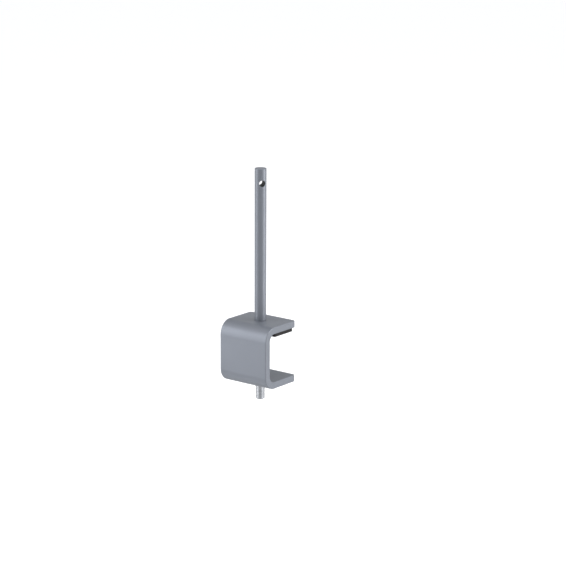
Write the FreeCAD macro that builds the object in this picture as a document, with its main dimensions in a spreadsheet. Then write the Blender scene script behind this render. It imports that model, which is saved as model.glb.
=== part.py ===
"""Table-edge clamp with an upright rod: a wide steel bar bent into a C grips the edge of a board between a
rubber pad under its top plate and a swivel foot on a clamp screw that comes up through its lower jaw.

Frame, in millimetres: the origin is where the common axis of the rod and the clamp screw meets the top of
the board, that is, the underside of the jaw pad.  +Z is up the rod, +X runs along the bar's width and +Y
runs from the spine of the C to the tips of its jaws.  The clamp stands closed on the board it is drawn with.
"""
import FreeCAD, Part
import math
import os
import re
import Sketcher

# Driving dimensions.  Lengths in millimetres, angles in degrees.
DIMENSIONS = {
    # the bent bar
    "bar_width": 50,
    "bar_thickness": 6,
    "clamp_depth": 42,
    "clamp_height": 54.5,
    "bend_outside": 12,
    "tip_corner": 3,
    "edge_break": 0.5,
    "overrun": 1,
    "spine_to_axis": 24,
    # the rod and the countersunk screw that holds it from below
    "rod_radius": 5,
    "rod_length": 133,
    "rod_chamfer": 0.3,
    "cross_hole_radius": 2.75,
    "cross_hole_drop": 12.6,
    "cross_hole_turn": 57,
    "rod_screw_length": 16,
    "rod_screw_head": 5.8,
    "rod_screw_head_land": 0.3,
    "rod_screw_hole": 3.3,
    "rod_screw_sink": 6.12,
    "rod_screw_plain": 4,
    "rod_tapping_depth": 13,
    "rod_lead": 0.2,
    "drill_point_rise": 0.6,
    "rod_screw_socket": 4,
    "rod_screw_socket_depth": 2.2,
    "m_six_radius": 3,
    "m_six_pitch": 1,
    "m_six_depth": 0.55,
    # the rubber pad under the top plate
    "pad_thickness": 3,
    "pad_width": 49,
    "pad_back": 11,
    "pad_front": 14.5,
    "pad_corner": 2,
    "pad_round": 0.4,
    # the board, and the clamp screw that closes on it
    "board": 24,
    "m_eight_radius": 4,
    "m_eight_pitch": 1.25,
    "m_eight_depth": 0.7,
    "thread_crest": 0.18,
    "thread_clearance": 0.12,
    "thread_overlap": 0.05,
    "bore_easing": 0.15,
    "jaw_lead": 0.3,
    "screw_turns_below_jaw": 11.5,
    "jaw_turns": 8,
    "screw_below_jaw": 16,
    "screw_chamfer": 0.8,
    "screw_socket": 4,
    "screw_socket_depth": 5,
    # the swivel joint at the screw's upper end
    "neck_radius": 3,
    "neck_length": 7.5,
    "neck_ball": 5,
    "neck_groove_depth": 0.35,
    "neck_groove_width": 1.3,
    "ring_wire": 0.5,
    "ring_centre": 3.25,
    "ring_opening": 50,
    "seat_gap": 0.04,
    "foot_radius": 8,
    "foot_height": 7.5,
    "foot_recess": 3.4,
    "foot_web": 2.5,
    "foot_groove_radius": 4.05,
    "foot_groove_width": 1.8,
    "foot_chamfer": 0.8,
    "foot_lead": 0.5,
    "ring_drop": 0.85,
    "facing_thickness": 1.5,
    "facing_round": 0.4,
}

# Levels and places worked out from them, each with its formula.
DERIVED = {
    "plate_under": "pad_thickness",
    "plate_top": "plate_under + bar_thickness",
    "jaw_bottom": "plate_top - clamp_height",
    "jaw_top": "jaw_bottom + bar_thickness",
    "spine_back": "-spine_to_axis",
    "spine_inside": "spine_back + bar_thickness",
    "tip": "clamp_depth - spine_to_axis",
    "rod_top": "plate_top + rod_length",
    "cross_hole_level": "rod_top - cross_hole_drop",
    "face_level": "-board",
    "foot_top": "face_level - facing_thickness",
    "foot_bottom": "foot_top - foot_height",
    "recess_top": "foot_top - foot_web",
    "screw_top": "recess_top - seat_gap",
    "neck_bottom": "screw_top - neck_length",
    "screw_bottom": "jaw_bottom - screw_below_jaw",
    "neck_cap": "neck_ball - sqrt(neck_ball ^ 2 - neck_radius ^ 2)",
    "ring_level": "(foot_bottom + recess_top) / 2 - ring_drop",
    "screw_thread_start": "screw_bottom - m_eight_pitch",
    "jaw_thread_start": "screw_bottom + screw_turns_below_jaw * m_eight_pitch",
    "jaw_thread_bore": "m_eight_radius - m_eight_depth + bore_easing",
    "rod_thread_bore": "m_six_radius - m_six_depth + bore_easing",
    "rod_screw_start": "plate_under + rod_screw_plain",
    "rod_thread_start": "rod_screw_start + m_six_pitch / 2",
    "tapping_top": "plate_top + rod_tapping_depth",
}

ORIGIN = FreeCAD.Vector(0, 0, 0)
FLANK = "tan(30 deg)"


def fill_sheet(doc):
    """Write every dimension into the spreadsheet under its own name."""
    sheet = doc.addObject("Spreadsheet::Sheet", "sizes")
    cells = list(DIMENSIONS.items())
    cells += [(name, "=" + formula) for name, formula in DERIVED.items()]
    for row, (name, content) in enumerate(cells, start=1):
        sheet.set("A%d" % row, name)
        sheet.set("B%d" % row, str(content))
        sheet.setAlias("B%d" % row, name)
    doc.recompute()
    return sheet


doc = FreeCAD.newDocument("table_clamp")
sizes = fill_sheet(doc)


def in_sheet(expression):
    """The same expression with each dimension's name pointed at the spreadsheet."""
    known = DIMENSIONS.keys() | DERIVED.keys()
    return re.sub("[a-z_]+", lambda word: "sizes." * (word[0] in known) + word[0], expression)


def value(expression):
    """What an expression of dimension names comes to now."""
    return float(sizes.evalExpression(in_sheet(expression)))


# Sketches


def origin_plane(body, role):
    """One of the body's own origin planes."""
    return next(feature for feature in body.Origin.OriginFeatures if feature.Role == role)


def new_sketch(body, name, role, level=None):
    """An empty sketch on an origin plane, lifted along the plane's normal to a level."""
    sketch = body.newObject("Sketcher::SketchObject", name)
    sketch.AttachmentSupport = [(origin_plane(body, role), "")]
    sketch.MapMode = "FlatFace"
    if level:
        sketch.setExpression(".AttachmentOffset.Base.z", in_sheet(level))
    return sketch


def hold(sketch, kind, where, expression):
    """Tie one coordinate of a point to an expression, or to the axis where it is zero."""
    edge, end = where
    if expression == "0":
        axis = -2 if kind == "DistanceX" else -1
        sketch.addConstraint(Sketcher.Constraint("PointOnObject", edge, end, axis))
        return
    index = sketch.addConstraint(Sketcher.Constraint(kind, -1, 1, edge, end, value(expression)))
    sketch.setExpression("Constraints[%d]" % index, in_sheet(expression))


def outline(sketch, corners):
    """A closed outline of straight edges, each corner a pair of expressions."""
    places = [FreeCAD.Vector(value(across), value(up), 0) for across, up in corners]
    count = len(places)
    for here in range(count):
        sketch.addGeometry(Part.LineSegment(places[here], places[(here + 1) % count]), False)
    for here in range(count):
        sketch.addConstraint(Sketcher.Constraint("Coincident", here, 2, (here + 1) % count, 1))
    for here, (across, up) in enumerate(corners):
        hold(sketch, "DistanceX", (here, 1), across)
        hold(sketch, "DistanceY", (here, 1), up)


def disc(sketch, radius, across="0", up="0"):
    """A circle whose centre and radius are expressions."""
    centre = FreeCAD.Vector(value(across), value(up), 0)
    circle = sketch.addGeometry(Part.Circle(centre, FreeCAD.Vector(0, 0, 1), value(radius)), False)
    hold(sketch, "DistanceX", (circle, 3), across)
    hold(sketch, "DistanceY", (circle, 3), up)
    index = sketch.addConstraint(Sketcher.Constraint("Radius", circle, value(radius)))
    sketch.setExpression("Constraints[%d]" % index, in_sheet(radius))


# Features


def new_body(name):
    """An empty sub-part whose label names its file."""
    body = doc.addObject("PartDesign::Body", name)
    body.Label = name
    return body


def pad(body, sketch, length, midplane=False):
    """Thicken a sketch into a solid."""
    feature = body.newObject("PartDesign::Pad", sketch.Name + "_pad")
    feature.Profile = sketch
    feature.setExpression("Length", in_sheet(length))
    feature.Midplane = midplane
    return feature


def cut_volume(body, feature):
    """Check that a cut has really taken something away."""
    doc.recompute()
    if feature.Shape.Volume >= feature.BaseFeature.Shape.Volume:
        raise RuntimeError("%s of %s cuts nothing" % (feature.Name, body.Label))


def pocket(body, sketch, length, midplane=False, reverse=False):
    """Cut a sketch's outline into the solid."""
    feature = body.newObject("PartDesign::Pocket", sketch.Name + "_pocket")
    feature.Profile = sketch
    feature.setExpression("Length", in_sheet(length))
    feature.Midplane = midplane
    feature.Reversed = reverse
    cut_volume(body, feature)
    return feature


def turned(body, corners, name):
    """A solid of revolution about the vertical axis from its half section."""
    sketch = new_sketch(body, name, "XZ_Plane")
    outline(sketch, corners)
    feature = body.newObject("PartDesign::Revolution", name + "_turned")
    feature.Profile = sketch
    feature.ReferenceAxis = (sketch, ["V_Axis"])
    feature.Angle = 360
    return feature


def bored(body, corners, name):
    """A round recess about the vertical axis from its half section."""
    sketch = new_sketch(body, name, "XZ_Plane")
    outline(sketch, corners)
    feature = body.newObject("PartDesign::Groove", name + "_bored")
    feature.Profile = sketch
    feature.ReferenceAxis = (sketch, ["V_Axis"])
    feature.Angle = 360
    cut_volume(body, feature)
    return feature


def thread_cut(body, name, section, start, length, pitch):
    """Cut a right-handed helical groove; section lists (radius, half width) from one side to the other."""
    sketch = new_sketch(body, name, "XZ_Plane")
    (inner, inner_half), (outer, outer_half) = section
    outline(sketch, [
        (inner, "%s - ( %s )" % (start, inner_half)),
        (outer, "%s - ( %s )" % (start, outer_half)),
        (outer, "%s + ( %s )" % (start, outer_half)),
        (inner, "%s + ( %s )" % (start, inner_half)),
    ])
    feature = body.newObject("PartDesign::SubtractiveHelix", name + "_helix")
    feature.Profile = sketch
    feature.ReferenceAxis = (sketch, ["V_Axis"])
    feature.Mode = "pitch-height-angle"
    feature.setExpression("Pitch", in_sheet(pitch))
    feature.setExpression("Height", in_sheet(length))
    cut_volume(body, feature)
    return feature


def outside_thread(body, name, size, start, length):
    """The groove between the ridges of a screw."""
    root = "%s_radius - %s_depth" % (size, size)
    crest = "%s_radius + thread_overlap" % size
    space = "( %s_pitch - thread_crest ) / 2" % size
    section = [
        (root, "%s - %s_depth * %s" % (space, size, FLANK)),
        (crest, "%s + thread_overlap * %s" % (space, FLANK)),
    ]
    return thread_cut(body, name, section, start, length, size + "_pitch")


def inside_thread(body, name, size, bore, start, length):
    """The groove in a tapped hole: the screw's ridge with clearance all round."""
    inner = "%s - thread_overlap" % bore
    outer = "%s_radius + thread_clearance" % size
    ridge = "thread_crest / 2 + thread_clearance / cos(30 deg)"
    section = [
        (inner, "%s + ( %s_radius - %s + thread_overlap ) * %s" % (ridge, size, bore, FLANK)),
        (outer, "%s - thread_clearance * %s" % (ridge, FLANK)),
    ]
    return thread_cut(body, name, section, start, length, size + "_pitch")


def hexagon(body, name, level, across):
    """A hexagon across its flats, on a level plane."""
    sketch = new_sketch(body, name, "XY_Plane", level)
    corner = "%s / sqrt(3)" % across
    half = "%s / 2" % across
    middle = "%s / sqrt(3) / 2" % across
    outline(sketch, [
        (corner, "0"),
        (middle, half),
        ("-" + middle, half),
        ("-" + corner, "0"),
        ("-" + middle, "-" + half),
        (middle, "-" + half),
    ])
    return sketch


def edges_where(feature, wanted):
    """Names of the edges whose curve and middle point pass a test."""
    names = []
    for number, edge in enumerate(feature.Shape.Edges, start=1):
        middle = edge.valueAt((edge.FirstParameter + edge.LastParameter) / 2)
        if wanted(edge, middle):
            names.append("Edge%d" % number)
    return names


def rounded(body, name, base, wanted, radius):
    """Round the chosen edges of a feature."""
    doc.recompute()
    feature = body.newObject("PartDesign::Fillet", name)
    feature.Base = (base, edges_where(base, wanted))
    feature.setExpression("Radius", in_sheet(radius))
    return feature


def near(one, other):
    """Whether two coordinates are the same place."""
    return abs(one - other) < 1e-4


# Sub-parts


def clamp_bracket():
    """The C: a flat bar bent twice, with a countersunk hole for the rod's screw and a tapped lower jaw."""
    body = new_body("clamp_bracket")
    section = new_sketch(body, "bar_section", "YZ_Plane")
    outline(section, [
        ("tip", "plate_top"),
        ("spine_back", "plate_top"),
        ("spine_back", "jaw_bottom"),
        ("tip", "jaw_bottom"),
        ("tip", "jaw_top"),
        ("spine_inside", "jaw_top"),
        ("spine_inside", "plate_under"),
        ("tip", "plate_under"),
    ])
    bar = pad(body, section, "bar_width", midplane=True)

    half_width = value("bar_width / 2")
    back, inner, tip = value("spine_back"), value("spine_inside"), value("tip")
    thickness = value("bar_thickness")
    outer = rounded(body, "outer_bends", bar,
                    lambda edge, middle: near(middle.x, 0) and near(middle.y, back),
                    "bend_outside")
    bent = rounded(body, "inner_bends", outer,
                   lambda edge, middle: near(middle.x, 0) and near(middle.y, inner),
                   "bend_outside - bar_thickness")
    tips = rounded(body, "tip_corners", bent,
                   lambda edge, middle: near(middle.y, tip) and near(edge.Length, thickness),
                   "tip_corner")
    rounded(body, "broken_edges", tips,
            lambda edge, middle: near(abs(middle.x), half_width),
            "edge_break")
    doc.recompute()

    sink = "plate_under + rod_screw_sink - rod_screw_hole"
    bored(body, [
        ("0", "plate_under - overrun"),
        ("rod_screw_sink + overrun", "plate_under - overrun"),
        ("rod_screw_hole", sink),
        ("rod_screw_hole", "plate_top + overrun"),
        ("0", "plate_top + overrun"),
    ], "rod_screw_seat")
    mouth = "m_eight_radius + jaw_lead + overrun"
    lead = "( m_eight_radius + jaw_lead - jaw_thread_bore )"
    bored(body, [
        ("0", "jaw_bottom - overrun"),
        (mouth, "jaw_bottom - overrun"),
        ("jaw_thread_bore", "jaw_bottom + " + lead),
        ("jaw_thread_bore", "jaw_top - " + lead),
        (mouth, "jaw_top + overrun"),
        ("0", "jaw_top + overrun"),
    ], "jaw_bore")
    inside_thread(body, "jaw_thread", "m_eight", "jaw_thread_bore", "jaw_thread_start",
                  "jaw_turns * m_eight_pitch")
    return body


def upright_rod():
    """The round rod on the top plate, drilled across near its top and tapped in its foot."""
    body = new_body("upright_rod")
    turned(body, [
        ("0", "plate_top"),
        ("rod_radius - rod_chamfer / 2", "plate_top"),
        ("rod_radius", "plate_top + rod_chamfer / 2"),
        ("rod_radius", "rod_top - rod_chamfer"),
        ("rod_radius - rod_chamfer", "rod_top"),
        ("0", "rod_top"),
    ], "rod_section")
    bored(body, [
        ("0", "plate_top - overrun"),
        ("m_six_radius + rod_lead + overrun", "plate_top - overrun"),
        ("rod_thread_bore", "plate_top + m_six_radius + rod_lead - rod_thread_bore"),
        ("rod_thread_bore", "tapping_top"),
        ("0", "tapping_top + rod_thread_bore * drill_point_rise"),
    ], "tapping_drill")
    inside_thread(body, "rod_thread", "m_six", "rod_thread_bore", "rod_thread_start",
                  "tapping_top - rod_thread_start - m_six_pitch")
    hole = new_sketch(body, "cross_hole", "XZ_Plane")
    turn = FreeCAD.Rotation(FreeCAD.Vector(0, 1, 0), value("cross_hole_turn"))
    hole.AttachmentOffset = FreeCAD.Placement(ORIGIN, turn)
    hole.setExpression(".AttachmentOffset.Rotation.Angle", in_sheet("cross_hole_turn"))
    disc(hole, "cross_hole_radius", "0", "cross_hole_level")
    pocket(body, hole, "3 * rod_radius", midplane=True)
    return body


def rod_screw():
    """The countersunk screw that pulls the rod down onto the top plate, hidden by the pad."""
    body = new_body("rod_screw")
    head_cone = "plate_under + rod_screw_head_land + rod_screw_head - m_six_radius"
    end = "plate_under + rod_screw_length"
    turned(body, [
        ("0", "plate_under"),
        ("rod_screw_head", "plate_under"),
        ("rod_screw_head", "plate_under + rod_screw_head_land"),
        ("m_six_radius", head_cone),
        ("m_six_radius", end + " - m_six_depth"),
        ("m_six_radius - m_six_depth", end),
        ("0", end),
    ], "rod_screw_section")
    outside_thread(body, "rod_screw_thread", "m_six", "rod_screw_start",
                   "rod_screw_length - 2 * m_six_pitch")
    socket = hexagon(body, "rod_screw_key", "plate_under", "rod_screw_socket")
    pocket(body, socket, "rod_screw_socket_depth", reverse=True)
    return body


def jaw_pad():
    """The thin rubber pad glued under the top plate."""
    body = new_body("jaw_pad")
    plan = new_sketch(body, "pad_plan", "XY_Plane")
    outline(plan, [
        ("pad_width / 2", "-pad_back"),
        ("pad_width / 2", "pad_front"),
        ("-pad_width / 2", "pad_front"),
        ("-pad_width / 2", "-pad_back"),
    ])
    slab = pad(body, plan, "pad_thickness")
    corners = rounded(body, "pad_corners", slab,
                      lambda edge, middle: near(middle.z, value("pad_thickness / 2")),
                      "pad_corner")
    rounded(body, "pad_lower_edge", corners,
            lambda edge, middle: near(middle.z, 0),
            "pad_round")
    return body


def clamp_screw():
    """The clamp screw: threaded shank, hexagon socket in its lower end, swivel neck on its upper end."""
    body = new_body("clamp_screw")
    groove_low = "ring_level - neck_groove_width / 2"
    groove_high = "ring_level + neck_groove_width / 2"
    turned(body, [
        ("0", "screw_bottom"),
        ("m_eight_radius - screw_chamfer", "screw_bottom"),
        ("m_eight_radius", "screw_bottom + screw_chamfer"),
        ("m_eight_radius", "neck_bottom - screw_chamfer"),
        ("m_eight_radius - screw_chamfer", "neck_bottom"),
        ("neck_radius", "neck_bottom"),
        ("neck_radius", groove_low),
        ("neck_radius - neck_groove_depth", groove_low),
        ("neck_radius - neck_groove_depth", groove_high),
        ("neck_radius", groove_high),
        ("neck_radius", "screw_top - neck_cap"),
        ("0", "screw_top - neck_cap"),
    ], "screw_section")
    outside_thread(body, "screw_thread", "m_eight", "screw_thread_start",
                   "neck_bottom - screw_thread_start + m_eight_pitch")
    cap = new_sketch(body, "thrust_cap", "XZ_Plane")
    thrust_cap(cap)
    dome = body.newObject("PartDesign::Revolution", "thrust_dome")
    dome.Profile = cap
    dome.ReferenceAxis = (cap, ["V_Axis"])
    dome.Angle = 360
    socket = hexagon(body, "screw_key", "screw_bottom", "screw_socket")
    pocket(body, socket, "screw_socket_depth", reverse=True)
    return body


def thrust_cap(sketch):
    """Half section of the shallow ball end: a flat base, an arc over it and the axis."""
    base = value("screw_top - neck_cap")
    top = value("screw_top")
    centre = value("screw_top - neck_ball")
    radius = value("neck_ball")
    start = math.atan2(base - centre, value("neck_radius"))
    ball = Part.Circle(FreeCAD.Vector(0, centre, 0), FreeCAD.Vector(0, 0, 1), radius)
    sketch.addGeometry(Part.ArcOfCircle(ball, start, math.pi / 2), False)
    sketch.addGeometry(Part.LineSegment(FreeCAD.Vector(0, top, 0), FreeCAD.Vector(0, base, 0)), False)
    rim = FreeCAD.Vector(value("neck_radius"), base, 0)
    sketch.addGeometry(Part.LineSegment(FreeCAD.Vector(0, base, 0), rim), False)
    sketch.addConstraint(Sketcher.Constraint("Coincident", 0, 2, 1, 1))
    sketch.addConstraint(Sketcher.Constraint("Coincident", 1, 2, 2, 1))
    sketch.addConstraint(Sketcher.Constraint("Coincident", 2, 2, 0, 1))
    sketch.addConstraint(Sketcher.Constraint("PointOnObject", 0, 3, -2))
    sketch.addConstraint(Sketcher.Constraint("PointOnObject", 1, 1, -2))
    hold(sketch, "DistanceY", (1, 1), "screw_top")
    sketch.addConstraint(Sketcher.Constraint("PointOnObject", 1, 2, -2))
    hold(sketch, "DistanceY", (1, 2), "screw_top - neck_cap")
    hold(sketch, "DistanceX", (2, 2), "neck_radius")
    hold(sketch, "DistanceY", (2, 2), "screw_top - neck_cap")


def snap_ring():
    """The open wire ring that keeps the foot on the screw's neck."""
    body = new_body("snap_ring")
    section = new_sketch(body, "ring_wire_section", "XZ_Plane")
    disc(section, "ring_wire", "ring_centre", "ring_level")
    ring = body.newObject("PartDesign::Revolution", "ring_turned")
    ring.Profile = section
    ring.ReferenceAxis = (section, ["V_Axis"])
    ring.setExpression("Angle", "360 - sizes.ring_opening")
    return body


def thrust_pad():
    """The round foot: a steel button with a blind recess, grooved for the snap ring."""
    body = new_body("thrust_pad")
    groove_low = "ring_level - foot_groove_width / 2"
    groove_high = "ring_level + foot_groove_width / 2"
    turned(body, [
        ("foot_recess + foot_lead", "foot_bottom"),
        ("foot_radius - foot_chamfer", "foot_bottom"),
        ("foot_radius", "foot_bottom + foot_chamfer"),
        ("foot_radius", "foot_top"),
        ("0", "foot_top"),
        ("0", "recess_top"),
        ("foot_recess", "recess_top"),
        ("foot_recess", groove_high),
        ("foot_groove_radius", groove_high),
        ("foot_groove_radius", groove_low),
        ("foot_recess", groove_low),
        ("foot_recess", "foot_bottom + foot_lead"),
    ], "foot_section")
    return body


def thrust_pad_face():
    """The rubber disc bonded to the top of the foot."""
    body = new_body("thrust_pad_face")
    turned(body, [
        ("0", "foot_top"),
        ("foot_radius", "foot_top"),
        ("foot_radius", "face_level - facing_round"),
        ("foot_radius - facing_round", "face_level"),
        ("0", "face_level"),
    ], "facing_section")
    return body


SUB_PARTS = [
    clamp_bracket,
    upright_rod,
    rod_screw,
    jaw_pad,
    clamp_screw,
    snap_ring,
    thrust_pad,
    thrust_pad_face,
]


def check(bodies):
    """Stop if any object failed to compute or any sub-part is not one closed solid."""
    for thing in doc.Objects:
        if {"Invalid", "Error"} & set(thing.State):
            raise RuntimeError("%s failed: %s" % (thing.Name, thing.State))
    for body in bodies:
        shape = body.Shape
        if shape.isNull() or not shape.isValid() or len(shape.Solids) != 1:
            raise RuntimeError("%s is not one good solid" % body.Label)


bodies = [make() for make in SUB_PARTS]
doc.recompute()
check(bodies)
os.makedirs("parts", exist_ok=True)
for body in bodies:
    body.Shape.exportStep(os.path.join("parts", body.Label + ".step"))
    box = body.Shape.BoundBox
    print("%-16s %9.1f mm3  x %6.2f..%6.2f  y %6.2f..%6.2f  z %6.2f..%6.2f" % (
        body.Label, body.Shape.Volume, box.XMin, box.XMax, box.YMin, box.YMax, box.ZMin, box.ZMax))
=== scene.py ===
# %% [markdown]
# # A table-edge clamp with an upright rod
#
# The clamp is a flat steel bar bent into a C.  A round rod stands on its top plate, a screw comes up
# through its lower jaw, and a swivel foot on that screw presses a board against the rubber pad above it.
# This lesson takes the working CAD frame of the clamp and gives it finished meshes and finishes, one
# piece at a time.  Lengths are in metres throughout, so a millimetre is written 0.001 or `MM`.

# %% Load the frame
import math

import bmesh
import bpy
from mathutils import Matrix, Quaternion, Vector


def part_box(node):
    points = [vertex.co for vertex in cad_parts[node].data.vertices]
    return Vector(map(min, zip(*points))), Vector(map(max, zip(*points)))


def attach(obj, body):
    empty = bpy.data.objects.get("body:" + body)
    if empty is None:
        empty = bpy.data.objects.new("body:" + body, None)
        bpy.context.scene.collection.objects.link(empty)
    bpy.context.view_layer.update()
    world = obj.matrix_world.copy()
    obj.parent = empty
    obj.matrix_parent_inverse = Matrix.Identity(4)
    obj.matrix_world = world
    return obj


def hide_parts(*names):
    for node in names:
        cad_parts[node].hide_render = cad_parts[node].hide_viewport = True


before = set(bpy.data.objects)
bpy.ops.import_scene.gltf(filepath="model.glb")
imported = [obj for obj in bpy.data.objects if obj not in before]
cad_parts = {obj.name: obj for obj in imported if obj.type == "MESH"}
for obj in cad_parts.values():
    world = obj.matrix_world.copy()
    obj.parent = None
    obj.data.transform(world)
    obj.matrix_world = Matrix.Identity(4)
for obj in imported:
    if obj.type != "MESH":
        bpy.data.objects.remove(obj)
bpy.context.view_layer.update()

# %% [markdown]
# ## Sizes
#
# Every size is read from the frame where the frame shows it, so a piece always lands in the place of the
# node it stands for.  The few that a box can't show, such as a bend's radius or a thread's depth, are
# named here once.

# %% Sizes of the pieces
MM = 0.001
bar_low, bar_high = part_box("clamp_bracket")
rod_low, rod_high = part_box("upright_rod")
pad_low, pad_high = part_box("jaw_pad")
screw_low, screw_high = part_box("clamp_screw")
foot_low, foot_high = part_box("thrust_pad")
facing_low, facing_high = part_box("thrust_pad_face")
ring_low, ring_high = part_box("snap_ring")

plate_under = pad_high.z
bar_thickness = bar_high.z - plate_under
jaw_top = bar_low.z + bar_thickness
bend_outside = 12.0 * MM
bend_inside = bend_outside - bar_thickness
tip_corner = 3.0 * MM
edge_break = 0.55 * MM

rod_radius = rod_high.x
rod_edge = 0.3 * MM
cross_hole_radius = 2.75 * MM
cross_hole_level = rod_high.z - 12.6 * MM
cross_hole_turn = math.radians(57.0)

countersink_radius = 6.12 * MM
rod_screw_hole = 3.3 * MM
jaw_lead = 0.3 * MM
past_the_face = 1.0 * MM

thread_pitch = 1.25 * MM
thread_depth = 0.70 * MM
thread_crest = 0.18 * MM
thread_clearance = 0.12 * MM
thread_bore_easing = 0.15 * MM

screw_radius = 4.0 * MM
screw_chamfer = 0.8 * MM
socket_across = 4.0 * MM
socket_depth = 5.0 * MM
neck_radius = 3.0 * MM
neck_length = 7.5 * MM
neck_ball = 5.0 * MM
neck_groove_depth = 0.35 * MM
neck_groove_half = 0.65 * MM
ring_level = (ring_low.z + ring_high.z) / 2

foot_recess = 3.4 * MM
foot_web = 2.5 * MM
foot_groove = 4.05 * MM
foot_groove_half = 0.9 * MM
foot_mouth = 0.5 * MM
foot_chamfer = 0.8 * MM
facing_edge = 0.4 * MM
pad_corner = 2.0 * MM
pad_edge = 0.35 * MM
print("bar", round(bar_thickness / MM, 2), "mm thick, rod", round(2 * rod_radius / MM, 2), "mm across")

# %% [markdown]
# ## Helpers for shaping
#
# Most pieces here are turned on a lathe or cut from bar, so three helpers do most of the work: one spins
# a half section into a closed turned shape, one breaks its sharp edges as a file or a tumbler would, and
# one cuts or joins two shapes.  A real edge is never perfectly sharp, and the thin line of light that a
# broken edge catches is what makes a rendered part look made.

# %% Spin, break edges, cut
def turned(half_section, steps=96):
    """A closed shape spun about the vertical axis from points of (radius, height)."""
    shape = bmesh.new()
    points = [shape.verts.new((radius, 0.0, height)) for radius, height in half_section]
    edges = [shape.edges.new(pair) for pair in zip(points, points[1:])]
    bmesh.ops.spin(shape, geom=points + edges, cent=(0, 0, 0), axis=(0, 0, 1), angle=2 * math.pi,
                   steps=steps, use_merge=True)
    bmesh.ops.remove_doubles(shape, verts=shape.verts, dist=1e-7)
    bmesh.ops.recalc_face_normals(shape, faces=shape.faces)
    return shape


def break_edges(shape, width, rounds=3, sharper_than=40.0, where=None):
    """Round every edge that turns by more than an angle, or only those that `where` accepts."""
    limit = math.radians(sharper_than)
    sharp = [edge for edge in shape.edges if len(edge.link_faces) == 2 and edge.calc_face_angle() > limit]
    if where:
        sharp = [edge for edge in sharp if where(edge)]
    bmesh.ops.bevel(shape, geom=sharp, offset=width, segments=rounds, profile=0.5, affect="EDGES",
                    material=-1, clamp_overlap=True)
    return shape


def mesh_object(name, shape):
    """A scene object that holds a bmesh's shape."""
    mesh = bpy.data.meshes.new(name)
    shape.to_mesh(mesh)
    shape.free()
    piece = bpy.data.objects.new(name, mesh)
    bpy.context.scene.collection.objects.link(piece)
    return piece


def combined(shape, tool, operation):
    """One closed shape cut by, kept inside or joined to another."""
    blank = mesh_object("blank", shape)
    cutter = mesh_object("cutter", tool)
    boolean = blank.modifiers.new("combine", "BOOLEAN")
    boolean.operation = operation
    boolean.object = cutter
    boolean.solver = "EXACT"
    ready = blank.evaluated_get(bpy.context.evaluated_depsgraph_get())
    result = bmesh.new()
    result.from_mesh(ready.to_mesh())
    ready.to_mesh_clear()
    for used in (blank, cutter):
        mesh = used.data
        bpy.data.objects.remove(used)
        bpy.data.meshes.remove(mesh)
    bmesh.ops.remove_doubles(result, verts=result.verts, dist=1e-7)
    return result


def finished(name, shape, material, body, node, smooth_below=35.0):
    """Put a shape in the scene in place of its CAD node, shaded smooth except at real corners."""
    open_edges = sum(1 for edge in shape.edges if len(edge.link_faces) != 2)
    piece = mesh_object(name, shape)
    piece.data.materials.append(material)
    for face in piece.data.polygons:
        face.use_smooth = True
    piece.data.set_sharp_from_angle(angle=math.radians(smooth_below))
    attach(piece, body)
    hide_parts(node)
    print(name, "has", len(piece.data.polygons), "faces and", open_edges, "open edges")
    return piece

# %% [markdown]
# ## Finishes
#
# The bar and the rod wear one silver-grey powder coat: a plastic film baked over the steel, satin, with
# the faint orange-peel of flowed powder and a grain of fine metal flake.  The screw, its foot and the ring
# are bare metal parts, zinc plated or spring-dark, with the rings a turning tool leaves.  The wall of the
# hole through the rod is painted near-black, a painted shade for the shadow inside the bore.  The pad and
# the foot's facing are moulded black rubber.  Each finish is a small node tree on object coordinates.

# %% Node helpers
def new_finish(name):
    """A material with its shader, its nodes and its links ready to use."""
    material = bpy.data.materials.new(name)
    material.use_nodes = True
    nodes, links = material.node_tree.nodes, material.node_tree.links
    shader = nodes["Principled BSDF"]
    place = nodes.new("ShaderNodeTexCoord")
    return material, nodes, links, shader, place


def noise(nodes, links, place, per_metre, detail=2.0, stretch=None):
    """Cloudy noise with a stated number of features to the metre, drawn out along an axis if asked."""
    texture = nodes.new("ShaderNodeTexNoise")
    texture.inputs["Scale"].default_value = per_metre
    texture.inputs["Detail"].default_value = detail
    source = place.outputs["Object"]
    if stretch:
        mapping = nodes.new("ShaderNodeMapping")
        mapping.inputs["Scale"].default_value = stretch
        links.new(source, mapping.inputs["Vector"])
        source = mapping.outputs["Vector"]
    links.new(source, texture.inputs["Vector"])
    return texture.outputs["Fac"]


def spread(nodes, links, source, low, high):
    """Turn a noise value into a number between two limits."""
    between = nodes.new("ShaderNodeMapRange")
    between.inputs["From Min"].default_value = 0.3
    between.inputs["From Max"].default_value = 0.7
    between.inputs["To Min"].default_value = low
    between.inputs["To Max"].default_value = high
    links.new(source, between.inputs["Value"])
    return between.outputs["Result"]


def two_tone(nodes, links, source, dark, light):
    """Blend between two colours by a noise value."""
    ramp = nodes.new("ShaderNodeValToRGB")
    ramp.color_ramp.elements[0].position = 0.3
    ramp.color_ramp.elements[0].color = (*dark, 1.0)
    ramp.color_ramp.elements[1].position = 0.7
    ramp.color_ramp.elements[1].color = (*light, 1.0)
    links.new(source, ramp.inputs["Fac"])
    return ramp.outputs["Color"]


def bump(nodes, links, source, height):
    """A surface relief of a given height."""
    relief = nodes.new("ShaderNodeBump")
    relief.inputs["Strength"].default_value = 1.0
    relief.inputs["Distance"].default_value = height
    links.new(source, relief.inputs["Height"])
    return relief.outputs["Normal"]
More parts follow.
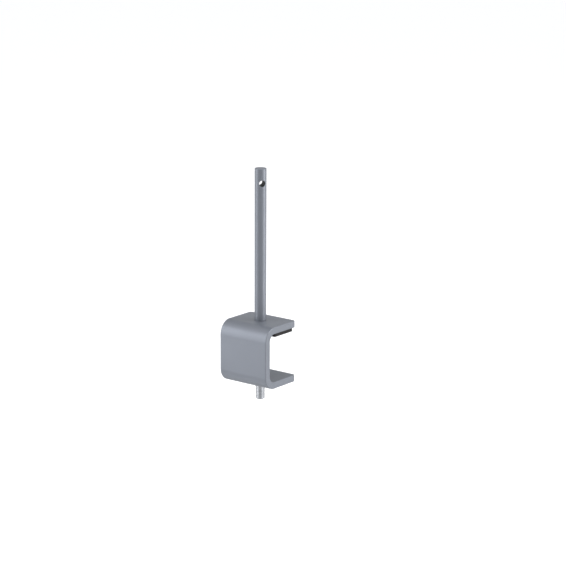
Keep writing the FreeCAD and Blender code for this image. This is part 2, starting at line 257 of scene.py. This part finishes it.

# %% The powder coat, the bare metals, the rubber and the bore's painted shade
def powder_coat():
    """Satin silver-grey powder coat with orange-peel and fine flake."""
    material, nodes, links, shader, place = new_finish("grey_powder_coat")
    flake = noise(nodes, links, place, 9000.0, 1.0)
    peel = noise(nodes, links, place, 900.0, 2.0)
    cloud = noise(nodes, links, place, 35.0, 3.0)
    colour = two_tone(nodes, links, flake, (0.160, 0.173, 0.200), (0.197, 0.211, 0.240))
    links.new(colour, shader.inputs["Base Color"])
    links.new(spread(nodes, links, cloud, 0.36, 0.42), shader.inputs["Roughness"])
    shader.inputs["Metallic"].default_value = 0.36
    shader.inputs["Coat Weight"].default_value = 0.15
    shader.inputs["Coat Roughness"].default_value = 0.3
    links.new(bump(nodes, links, peel, 0.00002), shader.inputs["Normal"])
    return material


def plated_steel(name, dark, light, rough, marks=1.0):
    """Bright plated steel with fine rings from turning and a little cloud in the plating."""
    material, nodes, links, shader, place = new_finish(name)
    rings = noise(nodes, links, place, 400.0, 2.0, stretch=(0.2, 0.2, 30.0))
    cloud = noise(nodes, links, place, 260.0, 3.0)
    links.new(two_tone(nodes, links, cloud, dark, light), shader.inputs["Base Color"])
    links.new(spread(nodes, links, rings, rough * 0.8, rough * 1.25), shader.inputs["Roughness"])
    shader.inputs["Metallic"].default_value = 1.0
    links.new(bump(nodes, links, rings, 0.000004 * marks), shader.inputs["Normal"])
    return material


def moulded_rubber():
    """Matt black rubber with a fine moulded grain and faint dusting."""
    material, nodes, links, shader, place = new_finish("black_rubber")
    grain = noise(nodes, links, place, 3500.0, 3.0)
    dust = noise(nodes, links, place, 120.0, 4.0)
    links.new(two_tone(nodes, links, dust, (0.010, 0.009, 0.009), (0.021, 0.019, 0.019)),
              shader.inputs["Base Color"])
    links.new(spread(nodes, links, dust, 0.62, 0.8), shader.inputs["Roughness"])
    shader.inputs["Specular IOR Level"].default_value = 0.3
    links.new(bump(nodes, links, grain, 0.00003), shader.inputs["Normal"])
    return material


def painted_bore_shade():
    """Near-black metal for the wall of the drilled hole: painted shade that stands in for the shadow inside
    it.
    """
    material, nodes, links, shader, place = new_finish("painted_bore_shade")
    scores = noise(nodes, links, place, 700.0, 2.0)
    links.new(two_tone(nodes, links, scores, (0.022, 0.023, 0.025), (0.050, 0.051, 0.054)),
              shader.inputs["Base Color"])
    links.new(spread(nodes, links, scores, 0.45, 0.6), shader.inputs["Roughness"])
    shader.inputs["Metallic"].default_value = 0.6
    return material


GREY_COAT = powder_coat()
# Near-black metal for the rod's cross hole: painted shade for the shadow inside the bore.
PAINTED_BORE_SHADE = painted_bore_shade()
ZINC = plated_steel("bright_zinc", (0.64, 0.65, 0.67), (0.74, 0.75, 0.77), rough=0.06, marks=0.5)
WIRE = plated_steel("spring_wire", (0.16, 0.16, 0.165), (0.24, 0.24, 0.245), rough=0.34)
RUBBER = moulded_rubber()
print("finishes:", ", ".join(sorted(material.name for material in (GREY_COAT, PAINTED_BORE_SHADE, ZINC, WIRE, RUBBER))))

# %% [markdown]
# ## The thread
#
# A thread could be faked with a bump, but the screw's outline would stay smooth.  Here the ridge is real:
# the half section of one pitch is spun with a small lift at every step, so each turn lands exactly on top
# of the last.  The same helper, swollen by the clearance, also makes the tap that cuts the jaw's hole.

# %% One helical ridge, as long as needed
def threaded_bar(crest_radius, root_radius, half_ridge, bottom, turns, steps=48):
    """A closed threaded bar; `half_ridge` is half the ridge's width at the crest."""
    flank = (crest_radius - root_radius) * math.tan(math.radians(30.0))
    middle = thread_pitch / 2
    half_section = [
        (root_radius, 0.0),
        (root_radius, middle - half_ridge - flank),
        (crest_radius, middle - half_ridge),
        (crest_radius, middle + half_ridge),
        (root_radius, middle + half_ridge + flank),
        (root_radius, thread_pitch),
    ]
    shape = bmesh.new()
    points = [shape.verts.new((radius, 0.0, bottom + height)) for radius, height in half_section]
    edges = [shape.edges.new(pair) for pair in zip(points, points[1:])]
    bmesh.ops.spin(shape, geom=points + edges, cent=(0, 0, 0), axis=(0, 0, 1), angle=2 * math.pi * turns,
                   dvec=(0, 0, thread_pitch / steps), steps=steps * turns)
    bmesh.ops.remove_doubles(shape, verts=shape.verts, dist=1e-7)
    for level, upward in ((bottom + thread_pitch * 1.05, -1), (bottom + thread_pitch * (turns - 0.05), 1)):
        everything = shape.verts[:] + shape.edges[:] + shape.faces[:]
        bmesh.ops.bisect_plane(shape, geom=everything, dist=1e-8, plane_co=(0, 0, level),
                               plane_no=(0, 0, upward), clear_outer=True)
        rim = [edge for edge in shape.edges if edge.is_boundary
               and all(abs(vert.co.z - level) < 1e-6 for vert in edge.verts)]
        bmesh.ops.holes_fill(shape, edges=rim, sides=0)
    bmesh.ops.recalc_face_normals(shape, faces=shape.faces)
    return shape


def hexagon_key(across, low, high):
    """A six-sided prism, the shape of a hexagon key."""
    shape = bmesh.new()
    bmesh.ops.create_cone(shape, cap_ends=True, segments=6, radius1=across / math.sqrt(3),
                          radius2=across / math.sqrt(3), depth=high - low)
    bmesh.ops.translate(shape, verts=shape.verts, vec=(0, 0, (low + high) / 2))
    return shape


thread_root = screw_radius - thread_depth
thread_foot = screw_low.z - thread_pitch
print("thread:", round(thread_pitch / MM, 2), "mm pitch,", round(thread_depth / MM, 2), "mm deep")

# %% [markdown]
# ## The bent bar
#
# The real bar is cut to length, its corners are rounded, and a press folds it twice.  In the model the
# square C is extruded first and its bends, corners and edges are then rolled in with bevels, because a
# bevel with a profile of 0.5 is a true arc and keeps the bar's thickness even round the bend.

# %% The bar: a square C, then bends, corners and broken edges
def bent_bar():
    """The bar with its two bends, its rounded tips and its broken edges, before any hole is cut."""
    shape = bmesh.new()
    spine, tip = bar_low.y, bar_high.y
    spine_inside = spine + bar_thickness
    section = [
        (tip, bar_high.z), (spine, bar_high.z), (spine, bar_low.z), (tip, bar_low.z),
        (tip, jaw_top), (spine_inside, jaw_top), (spine_inside, plate_under), (tip, plate_under),
    ]
    side = shape.faces.new([shape.verts.new((bar_low.x, y, z)) for y, z in section])
    grown = bmesh.ops.extrude_face_region(shape, geom=[side])["geom"]
    moved = [part for part in grown if isinstance(part, bmesh.types.BMVert)]
    bmesh.ops.translate(shape, verts=moved, vec=(bar_high.x - bar_low.x, 0, 0))
    bmesh.ops.recalc_face_normals(shape, faces=shape.faces)

    bend_rounds, corner_rounds = 28, 10

    def roll(found, radius, rounds):
        chosen = [edge for edge in shape.edges
                  if found(edge, (edge.verts[0].co + edge.verts[1].co) / 2)]
        bmesh.ops.bevel(shape, geom=chosen, offset=radius, segments=rounds, profile=0.5, affect="EDGES",
                        material=-1)

    def near(one, other):
        return abs(one - other) < 1e-6

    roll(lambda edge, middle: near(middle.x, 0) and near(middle.y, spine), bend_outside, bend_rounds)
    roll(lambda edge, middle: near(middle.x, 0) and near(middle.y, spine_inside), bend_inside, bend_rounds)
    roll(lambda edge, middle: near(abs(middle.x), bar_high.x) and near(middle.y, tip)
         and near(edge.calc_length(), bar_thickness), tip_corner, corner_rounds)
    break_edges(shape, edge_break, rounds=4)
    return shape


bar = bent_bar()
print("bent bar:", len(bar.faces), "faces before its holes")

# %% [markdown]
# ## Its two holes
#
# The top plate has a countersunk hole for the screw that holds the rod, and the lower jaw is tapped for the
# clamp screw.  Both are cut with solid tools, the way a drill and a tap would.

# %% Drill, countersink and tap
def countersink_tool():
    """A drill and its 90 degree countersink for the rod screw, reaching past both faces of the plate."""
    below, above = plate_under - past_the_face, bar_high.z + past_the_face
    cone_top = plate_under + countersink_radius - rod_screw_hole
    return turned([(0, below), (countersink_radius + past_the_face, below), (rod_screw_hole, cone_top),
                   (rod_screw_hole, above), (0, above)], steps=64)


def jaw_tool():
    """The drill for the jaw's tapped hole, with a lead-in at both of its mouths."""
    bore = thread_root + thread_bore_easing
    lead = screw_radius + jaw_lead - bore
    mouth = screw_radius + jaw_lead + past_the_face
    below, above = bar_low.z - past_the_face, jaw_top + past_the_face
    return turned([(0, below), (mouth, below), (bore, bar_low.z + lead), (bore, jaw_top - lead),
                   (mouth, above), (0, above)], steps=64)


def jaw_tap():
    """The tap: the screw's own thread, larger all round by the clearance and in step with it."""
    flank_lean = math.radians(30.0)
    half_ridge = thread_crest / 2 + thread_clearance / math.cos(flank_lean)
    half_ridge -= thread_clearance * math.tan(flank_lean)
    whole_turns_below, turns_cut = 11, 10
    return threaded_bar(screw_radius + thread_clearance, thread_root + thread_clearance, half_ridge,
                        thread_foot + whole_turns_below * thread_pitch, turns_cut)


bar = combined(bar, countersink_tool(), "DIFFERENCE")
bar = combined(bar, jaw_tool(), "DIFFERENCE")
bar = combined(bar, jaw_tap(), "DIFFERENCE")
bracket = finished("bracket", bar, GREY_COAT, "bracket", "clamp_bracket")
even = bracket.modifiers.new("even_shading", "WEIGHTED_NORMAL")
even.keep_sharp = True
even.weight = 100

# %% [markdown]
# ## The upright rod
#
# The rod is plain round bar with a chamfer at each end and one hole drilled across near the top.  The rings
# of vertices above and below the hole keep the cut from pulling on the long smooth wall.  The faces inside
# the hole take a near-black metal finish: painted shade that stands in for the shadow inside the bore.

# %% Turn the rod and drill it across
def rod_blank():
    """The rod before it is drilled, with rings of vertices round the level of the hole."""
    reach = cross_hole_radius * 1.6
    wall = [(rod_radius, cross_hole_level + reach * step / 8) for step in range(-8, 9)]
    foot = rod_low.z + rod_edge / 2
    return turned([(0, rod_low.z), (rod_radius - rod_edge / 2, rod_low.z), (rod_radius, foot), *wall,
                   (rod_radius, rod_high.z - rod_edge), (rod_radius - rod_edge, rod_high.z),
                   (0, rod_high.z)])


def cross_drill():
    """A drill laid across the rod at the hole's level and turned to the hole's direction."""
    shape = bmesh.new()
    bmesh.ops.create_cone(shape, cap_ends=True, segments=64, radius1=cross_hole_radius,
                          radius2=cross_hole_radius, depth=4 * rod_radius)
    lay_down = Matrix.Rotation(math.radians(90.0), 4, "X")
    turn = Matrix.Rotation(cross_hole_turn, 4, "Z")
    bmesh.ops.transform(shape, matrix=Matrix.Translation((0, 0, cross_hole_level)) @ turn @ lay_down,
                        verts=shape.verts)
    return shape


rod_shape = combined(rod_blank(), cross_drill(), "DIFFERENCE")
rod = finished("rod", rod_shape, GREY_COAT, "bracket", "upright_rod")
# The second material is the painted shade for the bore's wall; the faces inside the hole get it.
rod.data.materials.append(PAINTED_BORE_SHADE)
bore_way = Vector((-math.sin(cross_hole_turn), math.cos(cross_hole_turn), 0))
bore_middle = Vector((0, 0, cross_hole_level))
for face in rod.data.polygons:
    offset = face.center - bore_middle
    if (offset - offset.project(bore_way)).length < cross_hole_radius * 1.001:
        face.material_index = 1
print("faces inside the bore:", sum(face.material_index for face in rod.data.polygons))

# %% [markdown]
# ## The clamp screw
#
# One turned blank holds the screw's whole outline: chamfered end, shank, neck with its ring groove, and the
# shallow dome that pushes on the foot.  Keeping only what lies inside both the blank and a long threaded
# bar gives the thread its proper run-out at the chamfers without any further work.

# %% Turn the blank, keep the thread, sink the hexagon
def screw_blank():
    """The screw's whole outline without its thread."""
    chamfer = screw_chamfer
    neck_low = screw_high.z - neck_length
    groove, groove_half = neck_radius - neck_groove_depth, neck_groove_half
    ball_level = screw_high.z - neck_ball
    lean = math.asin(neck_radius / neck_ball)
    dome = [(neck_ball * math.sin(lean * step / 8), ball_level + neck_ball * math.cos(lean * step / 8))
            for step in range(8, 0, -1)]
    return turned([
        (0, screw_low.z), (screw_radius - chamfer, screw_low.z), (screw_radius, screw_low.z + chamfer),
        (screw_radius, neck_low - chamfer), (screw_radius - chamfer, neck_low), (neck_radius, neck_low),
        (neck_radius, ring_level - groove_half), (groove, ring_level - groove_half),
        (groove, ring_level + groove_half), (neck_radius, ring_level + groove_half),
        *dome, (0, screw_high.z),
    ], steps=64)


turns = math.ceil((screw_high.z - screw_low.z) / thread_pitch) + 4
long_thread = threaded_bar(screw_radius, thread_root, thread_crest / 2, thread_foot - thread_pitch, turns)
screw_shape = combined(screw_blank(), long_thread, "INTERSECT")
key = hexagon_key(socket_across, screw_low.z - past_the_face, screw_low.z + socket_depth)
screw_shape = combined(screw_shape, key, "DIFFERENCE")
screw = finished("screw", screw_shape, ZINC, "screw", "clamp_screw")

# %% [markdown]
# ## The swivel foot and its ring
#
# The foot is a turned steel button with a blind recess.  A wire ring, open so that it can be squeezed in,
# sits half in the foot's groove and half in the screw's, and holds the two together.

# %% Turn the foot, its rubber facing and the ring
def foot_shape():
    """The steel button with its blind recess and the groove for the ring."""
    roof = foot_high.z - foot_web
    radius = foot_high.x
    groove_low, groove_high = ring_level - foot_groove_half, ring_level + foot_groove_half
    section = [
        (0, roof), (foot_recess, roof), (foot_recess, groove_high), (foot_groove, groove_high),
        (foot_groove, groove_low), (foot_recess, groove_low),
        (foot_recess, foot_low.z + foot_mouth), (foot_recess + foot_mouth, foot_low.z),
        (radius - foot_chamfer, foot_low.z), (radius, foot_low.z + foot_chamfer),
        (radius, foot_high.z), (0, foot_high.z),
    ]
    return turned(section)


foot = finished("foot", foot_shape(), ZINC, "foot", "thrust_pad")


def facing_shape():
    """A rubber disc whose upper rim is rounded."""
    radius, lower, upper = facing_high.x, facing_low.z, facing_high.z
    shape = turned([(0, lower), (radius, lower), (radius, upper), (0, upper)])

    def on_top(edge):
        return all(abs(vert.co.z - upper) < 1e-7 for vert in edge.verts)

    return break_edges(shape, facing_edge, rounds=4, where=on_top)


facing = finished("foot_facing", facing_shape(), RUBBER, "foot", "thrust_pad_face")


def ring_shape(opening=50.0, around=72, section=20):
    """Wire bent round into an open ring, with flat cut ends."""
    wire = (ring_high.z - ring_low.z) / 2
    centre_line = ring_high.x - wire
    sweep = math.radians(360.0 - opening)
    shape = bmesh.new()
    bmesh.ops.create_circle(shape, cap_ends=False, segments=section, radius=wire)
    stand_up = Matrix.Rotation(math.radians(90.0), 4, "X")
    outward = Matrix.Translation((centre_line, 0, ring_level))
    bmesh.ops.transform(shape, matrix=outward @ stand_up, verts=shape.verts)
    bmesh.ops.spin(shape, geom=shape.verts[:] + shape.edges[:], cent=(0, 0, 0), axis=(0, 0, 1),
                   angle=sweep, steps=around)
    bmesh.ops.holes_fill(shape, edges=[edge for edge in shape.edges if edge.is_boundary], sides=0)
    bmesh.ops.recalc_face_normals(shape, faces=shape.faces)
    return shape


snap_ring = finished("snap_wire", ring_shape(), WIRE, "carrier", "snap_ring")

# %% [markdown]
# ## The jaw pad
#
# A strip of rubber sheet, cut with rounded corners and glued under the top plate.  Its lower edge is
# slightly rounded where it meets the board.

# %% Cut the pad
def pad_shape():
    """A strip with rounded corners and softened edges."""
    shape = bmesh.new()
    bmesh.ops.create_cube(shape, size=1.0)
    size = pad_high - pad_low
    bmesh.ops.scale(shape, verts=shape.verts, vec=size)
    bmesh.ops.translate(shape, verts=shape.verts, vec=(pad_high + pad_low) / 2)
    corners = [edge for edge in shape.edges
               if abs(edge.verts[0].co.z - edge.verts[1].co.z) > size.z / 2]
    bmesh.ops.bevel(shape, geom=corners, offset=pad_corner, segments=8, profile=0.5, affect="EDGES",
                    material=-1)
    return break_edges(shape, pad_edge, sharper_than=60.0)


pad = finished("pad", pad_shape(), RUBBER, "bracket", "jaw_pad")
softened = pad.modifiers.new("even_shading", "WEIGHTED_NORMAL")
softened.keep_sharp = True

# %% [markdown]
# ## The hidden screw
#
# The countersunk screw under the rod is out of sight between the plate and the pad, so the CAD shape is
# already all it needs, and it only takes the plated finish.

# %% Finish the hidden screw
hidden_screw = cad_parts["rod_screw"]
hidden_screw.data.materials.clear()
hidden_screw.data.materials.append(ZINC)

# %% [markdown]
# ## Stage, light and camera
#
# A pale floor lies well below the clamp.  The surround is a glow that is brighter to the left and right of
# the line of sight and dimmer along it, as in a light tent with a gap for the camera and none of its own
# light behind the object.  Round metal needs that difference: it puts the dark streak down the middle of
# the rod and the screw.  Two tall soft panels add the bright streaks on either side of it, and a third
# panel lights the plate from above.

# %% Where the camera stands
LENS, FILM = 130.54, 36.0
CAMERA_AZIMUTH, CAMERA_ELEVATION, CAMERA_ROLL = 37.706, 13.879, 0.283
CAMERA_DISTANCE = 1.781
AIM = Vector((0.00384, 0.02679, 0.03721))


def toward(azimuth):
    """A level direction, counted in degrees from the front of the spine round to its right."""
    turn = math.radians(azimuth)
    return Vector((math.sin(turn), -math.cos(turn), 0.0))


print("the camera looks from", CAMERA_AZIMUTH, "degrees round and", CAMERA_ELEVATION, "degrees up")

# %% Floor
FLOOR_LEVEL = -0.11
FLOOR_REACH = 6.0


def floor_finish():
    """Matt white with a slight glow; it can be seen through from below, so the underside can be viewed."""
    material = bpy.data.materials.new("pale_floor")
    material.use_nodes = True
    nodes, links = material.node_tree.nodes, material.node_tree.links
    surface = nodes["Principled BSDF"]
    surface.inputs["Base Color"].default_value = (0.93, 0.93, 0.93, 1.0)
    surface.inputs["Roughness"].default_value = 0.9
    surface.inputs["Specular IOR Level"].default_value = 0.1
    surface.inputs["Emission Color"].default_value = (1.0, 1.0, 1.0, 1.0)
    surface.inputs["Emission Strength"].default_value = 0.25
    side = nodes.new("ShaderNodeNewGeometry")
    clear = nodes.new("ShaderNodeBsdfTransparent")
    choose = nodes.new("ShaderNodeMixShader")
    links.new(side.outputs["Backfacing"], choose.inputs["Fac"])
    links.new(surface.outputs["BSDF"], choose.inputs[1])
    links.new(clear.outputs["BSDF"], choose.inputs[2])
    links.new(choose.outputs["Shader"], nodes["Material Output"].inputs["Surface"])
    return material


def pale_floor():
    """A wide flat floor that bounces soft light but leaves no mirror image in the metal."""
    shape = bmesh.new()
    bmesh.ops.create_grid(shape, x_segments=1, y_segments=1, size=FLOOR_REACH)
    bmesh.ops.translate(shape, verts=shape.verts, vec=(0, 0, FLOOR_LEVEL))
    floor = mesh_object("floor", shape)
    floor.data.materials.append(floor_finish())
    floor.visible_glossy = False
    return floor


floor = pale_floor()
print("the floor lies", round((screw_low.z - FLOOR_LEVEL) / MM, 1), "mm below the screw")

# %% The surround
def along_the_view(nodes, links):
    """How nearly a direction lies along the camera's heading, from 0 across it to 1 along it."""
    direction = nodes.new("ShaderNodeTexCoord")
    flat = nodes.new("ShaderNodeVectorMath")
    flat.operation = "MULTIPLY"
    flat.inputs[1].default_value = (1.0, 1.0, 0.0)
    level = nodes.new("ShaderNodeVectorMath")
    level.operation = "NORMALIZE"
    along = nodes.new("ShaderNodeVectorMath")
    along.operation = "DOT_PRODUCT"
    along.inputs[1].default_value = toward(CAMERA_AZIMUTH)
    either_way = nodes.new("ShaderNodeMath")
    either_way.operation = "ABSOLUTE"
    links.new(direction.outputs["Generated"], flat.inputs[0])
    links.new(flat.outputs["Vector"], level.inputs[0])
    links.new(level.outputs["Vector"], along.inputs[0])
    links.new(along.outputs["Value"], either_way.inputs[0])
    return either_way.outputs["Value"]


def surround(colour, bright, dim):
    """A glow from all round, bright across the line of sight and dim along it, behind a white sky."""
    world = bpy.data.worlds.new("surround")
    world.use_nodes = True
    nodes, links = world.node_tree.nodes, world.node_tree.links
    strength = nodes.new("ShaderNodeMapRange")
    strength.interpolation_type = "SMOOTHSTEP"
    strength.inputs["From Min"].default_value = 0.45
    strength.inputs["From Max"].default_value = 0.9
    strength.inputs["To Min"].default_value = bright
    strength.inputs["To Max"].default_value = dim
    links.new(along_the_view(nodes, links), strength.inputs["Value"])
    glow = nodes["Background"]
    glow.inputs["Color"].default_value = (*colour, 1.0)
    links.new(strength.outputs["Result"], glow.inputs["Strength"])
    sky = nodes.new("ShaderNodeBackground")
    sky.inputs["Color"].default_value = (1.0, 1.0, 1.0, 1.0)
    seen = nodes.new("ShaderNodeLightPath")
    choose = nodes.new("ShaderNodeMixShader")
    links.new(seen.outputs["Is Camera Ray"], choose.inputs["Fac"])
    links.new(glow.outputs["Background"], choose.inputs[1])
    links.new(sky.outputs["Background"], choose.inputs[2])
    links.new(choose.outputs["Shader"], nodes["World Output"].inputs["Surface"])
    bpy.context.scene.world = world
    return world


world = surround((0.97, 0.98, 1.0), bright=1.14, dim=0.53)
print("surround:", world.name)

# %% The panels
PANELS_AIM = Vector((0.0, 0.0, 0.04))
TALL_PANEL, TOP_PANEL = (0.25, 1.2), (0.8, 0.8)


def panel(name, azimuth, away, height, size, power, colour=(1.0, 1.0, 1.0)):
    """A soft rectangular panel aimed at the clamp; azimuth runs as for the camera."""
    light = bpy.data.lights.new(name, "AREA")
    light.shape = "RECTANGLE"
    light.size, light.size_y = size
    light.energy = power
    light.color = colour
    lamp = bpy.data.objects.new(name, light)
    lamp.location = toward(azimuth) * away + Vector((0.0, 0.0, height))
    lamp.rotation_euler = (PANELS_AIM - lamp.location).to_track_quat("-Z", "Y").to_euler()
    bpy.context.scene.collection.objects.link(lamp)
    return lamp


panels = [
    panel("left_panel", -43.0, 0.9, 0.25, TALL_PANEL, 3.8, (0.93, 0.96, 1.0)),
    panel("right_panel", 115.0, 0.9, 0.25, TALL_PANEL, 6.0),
    panel("top_panel", 40.0, 0.3, 1.1, TOP_PANEL, 3.0),
]
print("panels:", ", ".join(lamp.name for lamp in panels))

# %% Camera
def set_camera():
    """A long lens from the camera's place, leaning very slightly about its own line of sight."""
    lens = bpy.data.cameras.new("camera")
    lens.lens, lens.sensor_width = LENS, FILM
    lens.clip_start, lens.clip_end = 0.05, 50.0
    camera = bpy.data.objects.new("camera", lens)
    up = math.radians(CAMERA_ELEVATION)
    back = toward(CAMERA_AZIMUTH) * math.cos(up) + Vector((0.0, 0.0, math.sin(up)))
    camera.location = AIM + back * CAMERA_DISTANCE
    level = (-back).to_track_quat("-Z", "Y")
    lean = Quaternion(back, math.radians(CAMERA_ROLL))
    camera.rotation_euler = (lean @ level).to_euler()
    bpy.context.scene.collection.objects.link(camera)
    bpy.context.scene.camera = camera
    return camera


camera = set_camera()
bpy.context.scene.view_settings.view_transform = "Standard"
print("camera at", [round(value, 3) for value in camera.location])
